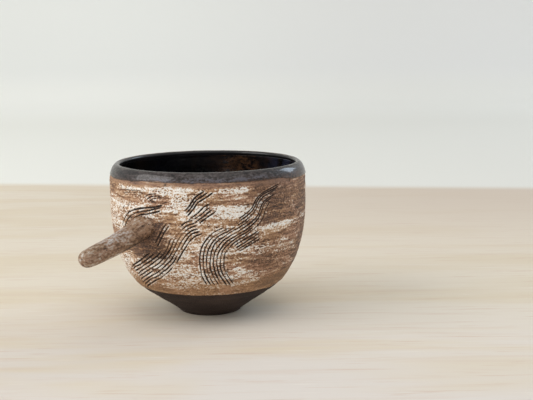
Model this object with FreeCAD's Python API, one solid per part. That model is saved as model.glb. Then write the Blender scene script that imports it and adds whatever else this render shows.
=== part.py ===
# Stoneware drinking cup in the shape of a kuksa: a round thrown bowl on a small turned foot,
# with one solid stick handle. Millimetres; the origin is the centre of the foot's resting face,
# +X runs along the handle and +Z is up.
import FreeCAD, Part
import math
import os
from FreeCAD import Vector

# Thrown bowl, clay surfaces
BELLY_RADIUS = 47.35      # widest ring, outside
BELLY_HEIGHT = 60.0       # that ring's height above the table
STRAIGHT_WALL = 6.0       # upright stretch above the belly
LIP_HEIGHT = 7.75         # from the upright stretch to the crest of the lip
LIP_ROUND = 1.2           # round on the lip's inner edge
MOUTH_LEAN = 1.8          # how far the wall leans in at the mouth, inside
WALL = 2.95               # clay wall at the belly
FLOOR = 5.0               # clay floor on the axis
BODY_DEPTH = 59.5         # from the belly down to where the outer curve would close
BODY_FULLNESS = 2.8       # 2 is an ellipse, more is squarer
HOLLOW_FULLNESS = 2.7
TRIM_HEIGHT = 13.5        # below this the wall was turned away to a straight cone
UNDERSIDE_RADIUS = 18.3   # flat under the bowl, where that cone ends

# Turned foot
FOOT_HEIGHT = 3.0         # table to the bowl's flat underside
FOOT_INNER_RADIUS = 9.8
FOOT_LAND = 4.7           # width of the resting face
FOOT_EDGE = 1.0           # soft edge outside the resting face, across
FOOT_EDGE_RISE = 0.7      # and up

# Pulled stick handle
HANDLE_HEIGHT = 47.9      # its axis on the wall
HANDLE_DROOP = 11.6       # degrees below level
HANDLE_SAG = 0.6          # how far its middle lies below a straight line
HANDLE_REACH = 40.0       # wall to tip, along the axis
ROOT_HALF_WIDTH = 6.2
ROOT_HALF_HEIGHT = 5.3
TIP_HALF_WIDTH = 4.2
TIP_HALF_HEIGHT = 4.3
TIP_BLUNTNESS = 24.0      # higher keeps the stick full nearer its end
UNDERSIDE_FLATNESS = 0.9  # half-height below the axis, as a share of that above

# Clay coil pressed round the handle's root
COIL_REACH = 8.0          # along the handle
COIL_SPREAD = 2.8         # over the wall, beyond the handle
COIL_EDGE = 0.35          # thickness left at its outer end

# Coats
SLIP = 0.35               # brushed slip on the outside
BARE_HEIGHT = 15.2        # clay left bare below this height
RIM_GLAZE = 0.35
RIM_BAND = 5.7            # rim glaze, down the outside from the crest
RIM_TURN_IN = 2.6         # and down the inside
LINER = 0.5               # glaze on the inner wall
LINER_POOL = 1.0          # glaze that gathered on the floor

# Places that follow from them
WALL_TOP = BELLY_HEIGHT + STRAIGHT_WALL
CREST = WALL_TOP + LIP_HEIGHT
SLIP_TOP = CREST - RIM_BAND
LINER_TOP = CREST - RIM_TURN_IN
HOLLOW_RADIUS = BELLY_RADIUS - WALL
HOLLOW_DEPTH = BELLY_HEIGHT - FOOT_HEIGHT - FLOOR

# The inner wall above the belly is one arc, centred at (LEAN_CENTRE, BELLY_HEIGHT). The lip's inner
# round touches it and the level of the crest.
MOUTH_RISE = CREST - LIP_ROUND - BELLY_HEIGHT
LEAN_RADIUS = (MOUTH_RISE ** 2 + MOUTH_LEAN ** 2) / (2 * MOUTH_LEAN)
LEAN_CENTRE = HOLLOW_RADIUS - LEAN_RADIUS
CREST_RADIUS = LEAN_CENTRE + math.sqrt((LEAN_RADIUS + LIP_ROUND) ** 2 - MOUTH_RISE ** 2)

# How finely the curves and lofts are drawn
CURVE_COUNT = 9
LIP_COUNT = 6
OVAL_COUNT = 12
SECTION_COUNT = 9
LAST_SECTION = math.radians(84)             # the sections crowd towards the tip as a sine does
COIL_SECTIONS = (-1.0, -0.4, 0.0, 0.35, 0.7, 1.0)   # shares of the coil's reach
CLEAR = 10.0              # how far a cutting block reaches past what it cuts


def at(radius, height):
    """A point of a turned profile, in the XZ plane."""
    return Vector(radius, 0, height)


def smooth(points, start, end):
    """A curve through the points that leaves and arrives along the given directions."""
    curve = Part.BSplineCurve()
    curve.interpolate(Points=points, InitialTangent=start, FinalTangent=end)
    return curve.toShape()


def bowl_curve(radius, depth, fullness, grow=0.0, share=1.0):
    """The bowl's line from the belly down, over this share of its depth, moved out by grow."""
    points = []
    last = math.asin(share)
    for i in range(CURVE_COUNT):
        fall = math.sin(last * i / (CURVE_COUNT - 1))
        across = radius * math.sqrt(max(0.0, 1 - fall ** fullness))
        normal = at(2 * across / radius ** 2, -fullness * fall ** (fullness - 1) / depth)
        normal.normalize()
        points.append(at(across, BELLY_HEIGHT - depth * fall) + normal * grow)
    return smooth(points, at(0, -1), at(normal.z, -normal.x))


def outside(grow=0.0):
    """The outer line from the belly down to where the trimming starts, grown by a coat."""
    share = (BELLY_HEIGHT - TRIM_HEIGHT) / BODY_DEPTH
    return bowl_curve(BELLY_RADIUS, BODY_DEPTH, BODY_FULLNESS, grow, share)


def trimmed():
    """The cone turned from there down to the underside, and the flat underside to the axis."""
    rim = at(UNDERSIDE_RADIUS, FOOT_HEIGHT)
    return [join(at(wall_radius(TRIM_HEIGHT), TRIM_HEIGHT), rim), join(rim, at(0, FOOT_HEIGHT))]


def upright(grow=0.0):
    """The upright stretch of wall above the belly."""
    radius = BELLY_RADIUS + grow
    return Part.makeLine(at(radius, BELLY_HEIGHT), at(radius, WALL_TOP))


def lip(grow=0.0):
    """The lip's outer quarter ellipse, then its inner round, from the wall's top over the crest."""
    across, rise = BELLY_RADIUS + grow - CREST_RADIUS, LIP_HEIGHT + grow
    turns = [math.pi / 2 * i / (LIP_COUNT - 1) for i in range(LIP_COUNT)]
    outer = [at(CREST_RADIUS + across * math.cos(t), WALL_TOP + rise * math.sin(t)) for t in turns]
    centre = at(CREST_RADIUS, CREST - LIP_ROUND)
    inward = at(LEAN_CENTRE, BELLY_HEIGHT) - centre
    inward.normalize()
    halfway = inward + at(0, 1)
    halfway.normalize()
    size = LIP_ROUND + grow
    inner = Part.Arc(centre + at(0, size), centre + halfway * size, centre + inward * size)
    return [smooth(outer, at(0, 1), at(-1, 0)), inner.toShape()]


def lean(grow=0.0):
    """The inner wall from the lip's round down to the belly, one arc."""
    radius = LEAN_RADIUS - grow
    middle = at(LEAN_CENTRE, BELLY_HEIGHT)
    to_lip = at(CREST_RADIUS, CREST - LIP_ROUND) - middle
    to_lip.normalize()
    halfway = to_lip + at(1, 0)
    halfway.normalize()
    arc = Part.Arc(middle + to_lip * radius, middle + halfway * radius, middle + at(radius, 0))
    return arc.toShape()


def turned(edges):
    """The solid made by turning a closed outline of these edges about the axis."""
    face = Part.Face(Part.Wire(Part.__sortEdges__(edges)))
    solid = face.revolve(Vector(0, 0, 0), Vector(0, 0, 1), 360)
    if solid.Volume < 0:
        solid.reverse()
    return solid


def join(first, second):
    """The straight edge between two points."""
    return Part.makeLine(first, second)


def start_of(edge):
    return edge.valueAt(edge.FirstParameter)


def end_of(edge):
    return edge.valueAt(edge.LastParameter)


def block(bottom, top, outer=BELLY_RADIUS + CLEAR, inner=0.0):
    """A cutting cylinder or ring between two heights."""
    solid = Part.makeCylinder(outer, top - bottom, at(0, bottom))
    if inner:
        solid = solid.cut(Part.makeCylinder(inner, top - bottom, at(0, bottom)))
    return solid


def clay_form():
    """The bowl's outer form filled solid, with the wall run on upwards: what the foot and handle seat on."""
    curve = outside()
    top = at(BELLY_RADIUS, CREST + CLEAR)
    middle = at(0, top.z)
    return turned([curve, *trimmed(), join(start_of(curve), top), join(top, middle),
                   join(middle, at(0, FOOT_HEIGHT))])


def wall_radius(height):
    """Radius of the bowl's outer clay surface at this height."""
    fall = max(0.0, BELLY_HEIGHT - height) / BODY_DEPTH
    return BELLY_RADIUS * math.sqrt(1 - fall ** BODY_FULLNESS)


def make_bowl():
    """The thrown bowl: floor, wall and lip in one turned outline."""
    curve = outside()
    hollow = bowl_curve(HOLLOW_RADIUS, HOLLOW_DEPTH, HOLLOW_FULLNESS)
    return turned([curve, upright(), *lip(), lean(), hollow, *trimmed(),
                   join(end_of(hollow), at(0, FOOT_HEIGHT))])


def make_foot_ring():
    """The turned foot: a ring with a soft outer edge, its side carrying the bowl's cone on down."""
    inner, land = at(FOOT_INNER_RADIUS, 0), at(FOOT_INNER_RADIUS + FOOT_LAND, 0)
    edge = land + at(FOOT_EDGE, FOOT_EDGE_RISE)
    halfway = math.radians(45)
    soft = land + at(FOOT_EDGE * math.sin(halfway), FOOT_EDGE_RISE * (1 - math.cos(halfway)))
    top, inside = at(UNDERSIDE_RADIUS, FOOT_HEIGHT), at(FOOT_INNER_RADIUS, FOOT_HEIGHT)
    return turned([join(inner, land), Part.Arc(land, soft, edge).toShape(), join(edge, top),
                   join(top, inside), join(inside, inner)])


def along_handle(distance):
    """A point of the handle's axis, this far out from the wall."""
    droop = math.radians(HANDLE_DROOP)
    root = at(wall_radius(HANDLE_HEIGHT), HANDLE_HEIGHT)
    share = max(0.0, distance / HANDLE_REACH)
    sag = HANDLE_SAG * 4 * share * (1 - share)
    return root + at(math.cos(droop), -math.sin(droop)) * distance - at(0, sag)


def handle_oval(distance, half_width, half_height):
    """The handle's cross-section, square to its axis and a little flatter underneath."""
    droop = math.radians(HANDLE_DROOP)
    up = at(math.sin(droop), math.cos(droop))
    centre = along_handle(distance)
    points = []
    for i in range(OVAL_COUNT):
        turn = 2 * math.pi * i / OVAL_COUNT
        rise = half_height * math.sin(turn)
        if rise < 0:
            rise *= UNDERSIDE_FLATNESS
        points.append(centre + Vector(0, half_width * math.cos(turn), 0) + up * rise)
    curve = Part.BSplineCurve()
    curve.interpolate(Points=points, PeriodicFlag=True)
    return Part.Wire(curve.toShape())


def handle_size(distance):
    """Half-width and half-height of the stick at this distance, before its end rounds off."""
    share = distance / HANDLE_REACH
    return (ROOT_HALF_WIDTH + (TIP_HALF_WIDTH - ROOT_HALF_WIDTH) * share,
            ROOT_HALF_HEIGHT + (TIP_HALF_HEIGHT - ROOT_HALF_HEIGHT) * share)


def handle_stick():
    """The pulled stick, from inside the wall to its blunt end."""
    ovals = [handle_oval(-CLEAR, *handle_size(-CLEAR))]
    for i in range(SECTION_COUNT):
        share = math.sin(LAST_SECTION * i / (SECTION_COUNT - 1))
        full = (1 - share ** TIP_BLUNTNESS) ** 0.5
        wide, high = handle_size(share * HANDLE_REACH)
        ovals.append(handle_oval(share * HANDLE_REACH, wide * full, high * full))
    return Part.makeLoft(ovals, True)


def make_handle():
    """The stick handle, cut to sit on the curved clay wall."""
    return handle_stick().cut(clay_form())


def make_joint_coil():
    """Clay pressed into the corner between handle and wall, thinning out along the handle."""
    ovals = []
    for share in COIL_SECTIONS:
        distance = COIL_REACH * share
        extra = COIL_EDGE + COIL_SPREAD * (1 - share) ** 2
        wide, high = handle_size(distance)
        ovals.append(handle_oval(distance, wide + extra, high + extra))
    flare = Part.makeLoft(ovals, True)
    return flare.cut(handle_stick()).cut(clay_form())


def make_slip_coat(handle, coil):
    """The brushed slip: a thin skin from the bare clay up to the rim glaze, open at the handle."""
    inner = [outside(), upright(), lip()[0]]
    outer = [outside(SLIP), upright(SLIP), lip(SLIP)[0]]
    skin = turned([*inner, *outer, join(end_of(inner[0]), end_of(outer[0])),
                   join(end_of(inner[2]), end_of(outer[2]))])
    skin = skin.common(block(BARE_HEIGHT, SLIP_TOP))
    return skin.cut(handle).cut(coil)


def make_rim_glaze():
    """The glaze band over the lip, lower outside than inside."""
    inner = [upright(), *lip(), lean()]
    outer = [upright(RIM_GLAZE), *lip(RIM_GLAZE), lean(RIM_GLAZE)]
    skin = turned([*inner, *outer, join(start_of(inner[0]), start_of(outer[0])),
                   join(end_of(inner[3]), end_of(outer[3]))])
    low = BELLY_HEIGHT - CLEAR
    skin = skin.cut(block(low, SLIP_TOP, inner=CREST_RADIUS))
    return skin.cut(block(low, LINER_TOP, outer=CREST_RADIUS))


def make_liner_glaze():
    """The glaze inside, thicker where it gathered on the floor."""
    clay = [lean(), bowl_curve(HOLLOW_RADIUS, HOLLOW_DEPTH, HOLLOW_FULLNESS)]
    surface = [lean(LINER), bowl_curve(HOLLOW_RADIUS - LINER, HOLLOW_DEPTH - LINER_POOL, HOLLOW_FULLNESS)]
    skin = turned([*clay, *surface, join(start_of(clay[0]), start_of(surface[0])),
                   join(end_of(clay[1]), end_of(surface[1]))])
    return skin.cut(block(LINER_TOP, CREST + CLEAR))


def only_solid(shape):
    """The one solid of a shape that a cut may have wrapped in a compound."""
    solids = [s for s in shape.Solids if s.Volume > 1]
    if len(solids) != 1 or not solids[0].isValid():
        raise ValueError(f"expected one sound solid, got {len(solids)}")
    return solids[0]


def main():
    os.makedirs("parts", exist_ok=True)
    handle = only_solid(make_handle())
    coil = only_solid(make_joint_coil())
    pieces = {
        "bowl": make_bowl(),
        "foot_ring": make_foot_ring(),
        "handle": handle,
        "handle_joint_coil": coil,
        "slip_coat": make_slip_coat(handle, coil),
        "rim_glaze": make_rim_glaze(),
        "liner_glaze": make_liner_glaze(),
    }
    for name, shape in pieces.items():
        solid = only_solid(shape)
        solid.exportStep(f"parts/{name}.step")
        box = solid.BoundBox
        print(f"{name}: {solid.Volume:.0f} mm3, x {box.XMin:.1f} to {box.XMax:.1f}, "
              f"z {box.ZMin:.1f} to {box.ZMax:.1f}")


main()
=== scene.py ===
import math

import bpy
import numpy as np
from mathutils import Matrix, Vector


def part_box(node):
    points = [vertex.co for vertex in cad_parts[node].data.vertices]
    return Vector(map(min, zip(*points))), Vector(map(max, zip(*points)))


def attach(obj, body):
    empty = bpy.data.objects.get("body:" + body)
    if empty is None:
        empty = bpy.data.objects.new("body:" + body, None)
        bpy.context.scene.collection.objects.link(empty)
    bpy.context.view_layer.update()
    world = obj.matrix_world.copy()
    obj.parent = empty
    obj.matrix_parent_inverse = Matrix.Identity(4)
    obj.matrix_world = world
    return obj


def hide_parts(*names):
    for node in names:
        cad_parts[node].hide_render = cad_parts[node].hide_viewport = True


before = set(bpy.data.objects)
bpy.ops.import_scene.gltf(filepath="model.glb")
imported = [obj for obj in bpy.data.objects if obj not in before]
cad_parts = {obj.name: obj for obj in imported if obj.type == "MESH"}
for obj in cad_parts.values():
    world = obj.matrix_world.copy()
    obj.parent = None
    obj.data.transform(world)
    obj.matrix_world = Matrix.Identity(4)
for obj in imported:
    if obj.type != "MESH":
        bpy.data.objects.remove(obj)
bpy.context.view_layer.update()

MM = 0.001
rng = np.random.default_rng(7)

# ------------------------------------------------------------------ sizes, millimetres
# Read off the frame where a box gives them; the rest are the same named sizes as the solids have.


def lowest(node, axis):
    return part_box(node)[0][axis] / MM


def highest(node, axis):
    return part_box(node)[1][axis] / MM


CLAY_RADIUS = highest("bowl", 1)
CLAY_CREST = highest("bowl", 2)
UNDERSIDE = lowest("bowl", 2)
UNDERSIDE_RADIUS = highest("foot_ring", 0)
CREST = highest("rim_glaze", 2)
RIM_FOOT = lowest("rim_glaze", 2)       # where the rim glaze ends on the clay
BARE_TOP = lowest("slip_coat", 2)       # bare clay below this height
HOLLOW_RADIUS = highest("liner_glaze", 1)
FLOOR_TOP = lowest("liner_glaze", 2)
SLIP = 0.35
BELLY = 60.0                         # height of the widest ring
WALL_TOP = 66.0                      # where the lip starts to turn in
CREST_RADIUS = 43.8
BODY_DEPTH, BODY_FULLNESS = 59.5, 2.8
HOLLOW_FULLNESS = 2.7
TRIM_HEIGHT = 13.5                   # below this the wall is a turned cone
FOOT_INNER, FOOT_LAND, FOOT_EDGE, FOOT_EDGE_RISE = 9.8, 4.7, 1.0, 0.7
ROOT_HEIGHT = 47.9                   # the handle's axis on the wall
DROOP, SAG, REACH = math.radians(11.6), 0.6, 40.0
ROOT_HALF = np.array([6.2, 5.3])     # half-width and half-height at the root and the tip
TIP_HALF = np.array([4.2, 4.3])
BLUNTNESS = 24

# How finely each piece is drawn: points round it, and millimetres from ring to ring where it shows.
SLIP_ROUND, SLIP_STEP = 1200, 0.27
RIM_ROUND, RIM_STEP = 900, 0.3
LINER_ROUND, LINER_STEP = 420, 0.8
BOWL_ROUND, BOWL_STEP = 720, 0.35
FOOT_ROUND, FOOT_STEP = 480, 0.3
HANDLE_ROUND = 150


def smoothstep(low, high, x):
    t = np.clip((x - low) / (high - low), 0, 1)
    return t * t * (3 - 2 * t)


# ------------------------------------------------------------------ profiles, as (radius, height) rows


def resample(points, spacing):
    """The same line with points a fixed distance apart."""
    points = np.asarray(points, float)
    along = np.r_[0, np.cumsum(np.hypot(*np.diff(points, axis=0).T))]
    count = max(2, int(round(along[-1] / spacing)) + 1)
    marks = np.linspace(0, along[-1], count)
    return np.c_[np.interp(marks, along, points[:, 0]), np.interp(marks, along, points[:, 1])]


def wall_radius(height):
    """Radius of the clay wall at a height between the trimming and the belly."""
    return CLAY_RADIUS * math.sqrt(1 - ((BELLY - height) / BODY_DEPTH) ** BODY_FULLNESS)


def outside_line(grow=0.0):
    """The clay's outer line from the underside's edge to the crest, grown outwards."""
    cone = np.array([(UNDERSIDE_RADIUS, UNDERSIDE), (wall_radius(TRIM_HEIGHT), TRIM_HEIGHT)])
    run = (cone[1] - cone[0]) / np.linalg.norm(cone[1] - cone[0])
    cone = cone + np.array([run[1], -run[0]]) * grow
    fall = np.sin(np.linspace(math.asin((BELLY - TRIM_HEIGHT) / BODY_DEPTH), 0, 160))[1:]
    r = CLAY_RADIUS * np.sqrt(1 - fall ** BODY_FULLNESS)
    normal = np.c_[2 * r / CLAY_RADIUS ** 2, -BODY_FULLNESS * fall ** (BODY_FULLNESS - 1) / BODY_DEPTH]
    normal /= np.linalg.norm(normal, axis=1)[:, None]
    body = np.c_[r, BELLY - BODY_DEPTH * fall] + normal * grow
    turn = np.linspace(0, math.pi / 2, 60)
    across, rise = CLAY_RADIUS + grow - CREST_RADIUS, CLAY_CREST + grow - WALL_TOP
    lip = np.c_[CREST_RADIUS + across * np.cos(turn), WALL_TOP + rise * np.sin(turn)]
    return np.vstack([cone, body, lip])


def inside_line(radius, floor, crest, lean=1.8, rounding=1.2):
    """The inner line from the crest down to the floor's middle: lip round, leaning wall, hollow."""
    rise = crest - rounding - BELLY
    big = (rise ** 2 + lean ** 2) / (2 * lean)
    middle = np.array([radius - big, BELLY])
    centre = np.array([middle[0] + math.sqrt((big + rounding) ** 2 - rise ** 2), crest - rounding])
    inward = math.atan2(*(middle - centre)[::-1])
    turn = np.linspace(math.pi / 2, inward + 2 * math.pi, 24)
    lip = centre + rounding * np.c_[np.cos(turn), np.sin(turn)]
    fall_from = math.atan2(*(centre - middle)[::-1])
    drop = np.linspace(fall_from, 0, 40)[1:]
    wall = middle + big * np.c_[np.cos(drop), np.sin(drop)]
    fall = np.sin(np.linspace(0, math.pi / 2, 120))[1:]
    across = radius * np.sqrt(np.maximum(0, 1 - fall ** HOLLOW_FULLNESS))
    hollow = np.c_[across, BELLY - (BELLY - floor) * fall]
    return np.vstack([lip, wall, hollow])


# ------------------------------------------------------------------ noise and meshes


def lattice_noise(u, v, cells_u, seed):
    """Smooth noise from -1 to 1 on a grid of random values; u runs once round as 0 to 1, v is in cells."""
    table = np.random.default_rng(seed).uniform(-1, 1, (512, cells_u))
    v = v + 200.0
    ui, vi = np.floor(u * cells_u).astype(int), np.floor(v).astype(int)
    fu, fv = u * cells_u - ui, v - vi
    fu, fv = fu * fu * (3 - 2 * fu), fv * fv * (3 - 2 * fv)
    low = table[vi % 512, ui % cells_u] * (1 - fu) + table[vi % 512, (ui + 1) % cells_u] * fu
    high = table[(vi + 1) % 512, ui % cells_u] * (1 - fu) + table[(vi + 1) % 512, (ui + 1) % cells_u] * fu
    return low * (1 - fv) + high * fv


def layered(u, heights, *layers):
    """Summed noise in millimetres; a layer is (swing, height of its cells, number of cells round, seed)."""
    return sum(swing * lattice_noise(u, heights / tall, cells, seed) for swing, tall, cells, seed in layers)


class Turned:
    """A surface turned about the axis from a line of (radius, height) rows, whose points can be moved."""

    def __init__(self, line, columns, closed=False):
        self.line = np.asarray(line, float)
        self.closed = closed
        self.columns = columns
        step = np.gradient(self.line, axis=0)
        if closed:
            step = np.roll(self.line, -1, axis=0) - np.roll(self.line, 1, axis=0)
        step /= np.linalg.norm(step, axis=1)[:, None]
        self.along = step
        self.normal = np.c_[step[:, 1], -step[:, 0]]
        self.share = np.arange(columns) / columns
        self.angle = self.share * 2 * math.pi
        self.radius = self.line[:, :1] + np.zeros((1, columns))
        self.height = self.line[:, 1:] + np.zeros((1, columns))
        self.travel = np.r_[0, np.cumsum(np.hypot(*np.diff(self.line, axis=0).T))]

    def move(self, direction, amount):
        """Move points by this many millimetres; the amount may cover only the first rows."""
        full = np.zeros(self.radius.shape)
        full[:len(amount)] = amount
        self.radius = self.radius + direction[:, :1] * full
        self.height = self.height + direction[:, 1:] * full

    def push(self, amount):
        """Outwards, along the surface's own normal."""
        self.move(self.normal, amount)

    def slide(self, amount):
        """Along the line."""
        self.move(self.along, amount)

    def mesh(self, name, fields=None):
        """The Blender object, with each field as a value at the points."""
        rows, columns = len(self.line), self.columns
        x, y = self.radius * np.cos(self.angle), self.radius * np.sin(self.angle)
        points = np.stack([x, y, self.height], axis=-1).reshape(-1, 3)
        index = np.arange(rows * columns).reshape(rows, columns)
        if self.closed:
            index = np.vstack([index, index[:1]])
        across = np.roll(index, -1, axis=1)
        faces = np.stack([index[:-1], across[:-1], across[1:], index[1:]], axis=-1).reshape(-1, 4)
        faces = faces.tolist()
        if not self.closed:
            points, faces = capped(points, faces, index)
        return make_object(name, points, faces, fields)


def capped(points, faces, index):
    """Close both ends of an open grid, each with a fan to the ring's centre."""
    count = len(points)
    ends = [points[index[0]].mean(axis=0), points[index[-1]].mean(axis=0)]
    for ring, pole, flip in ((index[0], count, False), (index[-1], count + 1, True)):
        for a, b in zip(ring, np.roll(ring, -1)):
            faces.append([pole, a, b] if flip else [pole, b, a])
    return np.vstack([points, ends]), faces


def make_object(name, points, faces, fields=None):
    mesh = bpy.data.meshes.new(name)
    mesh.from_pydata((np.asarray(points) * MM).tolist(), [], faces)
    mesh.validate()
    for label, values in (fields or {}).items():
        store = mesh.attributes.new(label, "FLOAT", "POINT")
        padded = np.zeros(len(mesh.vertices))
        padded[:values.size] = values.ravel()
        store.data.foreach_set("value", padded)
    mesh.polygons.foreach_set("use_smooth", [True] * len(mesh.polygons))
    mesh.update()
    piece = bpy.data.objects.new(name, mesh)
    bpy.context.scene.collection.objects.link(piece)
    return piece


def dress(piece, material, slot, *nodes):
    """Give a piece its material, hang it on the root body and hide the CAD nodes that it stands for."""
    piece.data.materials.append(material)
    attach(piece, "root")
    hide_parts(*nodes)


# ------------------------------------------------------------------ material nodes


REFRACTION = 1.5                     # of glaze and of fired clay


class Shader:
    """Short calls that build one material's nodes. What a call takes is a number, a colour or a socket."""

    def __init__(self, name):
        self.material = bpy.data.materials.new(name)
        self.material.use_nodes = True
        self.tree = self.material.node_tree
        self.tree.nodes.clear()
        self.place = self.add("ShaderNodeTexCoord", {}).outputs["Object"]

    def add(self, kind, inputs, **settings):
        """A node with these settings and with these values or links on its inputs."""
        node = self.tree.nodes.new(kind)
        for key, value in settings.items():
            setattr(node, key, value)
        for key, value in inputs.items():
            if isinstance(value, bpy.types.NodeSocket):
                self.tree.links.new(value, node.inputs[key])
            else:
                node.inputs[key].default_value = value
        return node

    def math(self, operation, first, second):
        return self.add("ShaderNodeMath", {0: first, 1: second}, operation=operation).outputs[0]

    def plus(self, first, second):
        return self.math("ADD", first, second)

    def minus(self, first, second):
        return self.math("SUBTRACT", first, second)

    def times(self, first, second):
        return self.math("MULTIPLY", first, second)

    def larger(self, first, second):
        return self.math("MAXIMUM", first, second)

    def stretched(self, cells):
        """Object coordinates times cells per metre: one number, or one for each axis."""
        cells = cells if isinstance(cells, tuple) else (cells,) * 3
        inputs = {0: self.place, 1: cells}
        return self.add("ShaderNodeVectorMath", inputs, operation="MULTIPLY").outputs[0]

    def noise(self, cells, detail=3, roughness=0.6, distortion=0.0, seed=0):
        """Noise from 0 to 1."""
        inputs = {"Vector": self.stretched(cells), "W": seed, "Scale": 1.0, "Detail": detail,
                  "Roughness": roughness, "Distortion": distortion}
        return self.add("ShaderNodeTexNoise", inputs, noise_dimensions="4D").outputs["Fac"]

    def dots(self, cells, low, high, seed=0.0):
        """1 inside scattered round dots, 0 outside."""
        inputs = {"Vector": self.stretched(cells), "W": seed, "Scale": 1.0}
        spots = self.add("ShaderNodeTexVoronoi", inputs, voronoi_dimensions="4D")
        return self.step(spots.outputs["Distance"], high, low)

    def step(self, value, low, high):
        """0 below low, 1 above high, smooth between; low may be the larger."""
        ends = (0.0, 1.0) if low <= high else (1.0, 0.0)
        inputs = {"Value": value, "From Min": min(low, high), "From Max": max(low, high),
                  "To Min": ends[0], "To Max": ends[1]}
        return self.add("ShaderNodeMapRange", inputs, interpolation_type="SMOOTHSTEP").outputs["Result"]

    def mix(self, factor, first, second):
        inputs = {"Factor": factor, "A": colour(first), "B": colour(second)}
        node = self.add("ShaderNodeMix", inputs, data_type="RGBA")
        return [s for s in node.outputs if s.type == "RGBA"][0]

    def field(self, name):
        """A value stored at the mesh's points."""
        return self.add("ShaderNodeAttribute", {}, attribute_name=name).outputs["Fac"]

    def axis(self, letter):
        """X along the handle, Y across it or Z above the table, in metres."""
        return self.add("ShaderNodeSeparateXYZ", {0: self.place}).outputs[letter]

    def finish(self, base, roughness, relief, depth, coat=0.0, coat_roughness=0.1, specular=0.5):
        """The material, with a relief of this depth in metres."""
        bump = self.add("ShaderNodeBump", {"Strength": 1.0, "Distance": depth, "Height": relief})
        shader = self.add("ShaderNodeBsdfPrincipled", {
            "Base Color": base, "Roughness": roughness, "IOR": REFRACTION, "Specular IOR Level": specular,
            "Coat Weight": coat, "Coat Roughness": coat_roughness, "Normal": bump.outputs["Normal"]})
        self.add("ShaderNodeOutputMaterial", {"Surface": shader.outputs["BSDF"]})
        return self.material


def colour(value):
    """A colour as its socket takes it, or a socket as it is."""
    return (*value, 1.0) if isinstance(value, tuple) else value


# ------------------------------------------------------------------ comb strokes and slip patches
# A stroke's stations are (degrees round from the handle, height in mm) of its first tine and the same of
# its last; the other tines run between. A lift is (tine, from, to, share): between those angles the tine
# cuts less deep by that share.

GROOVE_DEPTH = 0.62                  # that a tine of strength 1 cuts
GROOVE_WIDTH, GROOVE_SPREAD = 0.22, 0.12    # half-width of a scratch, and what full strength adds
BURR = 0.17                          # clay thrown up beside a groove
SLIP_BUILD = 0.14                    # how proud the white slip stands
PIT_DEPTH, PIT_RADIUS = 0.5, 0.6
TINE_STEP, TINE_REACH = 0.12, 1.7    # from point to point of a tine, and how far it marks the wall

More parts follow.
